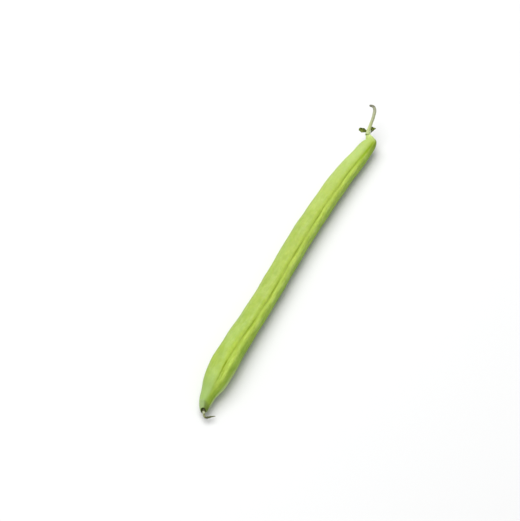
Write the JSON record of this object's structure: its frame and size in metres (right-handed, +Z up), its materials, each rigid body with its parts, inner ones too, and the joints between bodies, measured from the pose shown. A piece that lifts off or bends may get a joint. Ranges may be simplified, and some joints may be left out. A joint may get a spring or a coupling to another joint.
{
  "type": "green bean",
  "caption": "Fresh snap bean pod as picked, with its seam, stalk, calyx and dried style, lying on its underside.",
  "frame": {"origin": "on the resting surface, under the middle of the whole bean's bounding box", "axes": "+X along the pod towards its stalk end, -X towards its tip; +Z up, away from the resting surface; +Y to the side that the middle of the pod bows towards"},
  "size_m": [0.1556, 0.013, 0.0112],
  "materials": {
    "pod_skin": "satin",
    "calyx_green": "matte",
    "stalk_skin": "matte",
    "withered_leaf": "matte",
    "dried_style": "matte"
  },
  "bodies": {
    "root": {"pod": "pod_skin", "calyx": "calyx_green", "stalk": "stalk_skin", "bract_left": "withered_leaf", "bract_right": "withered_leaf", "style": "dried_style"}
  },
  "joints": []
}
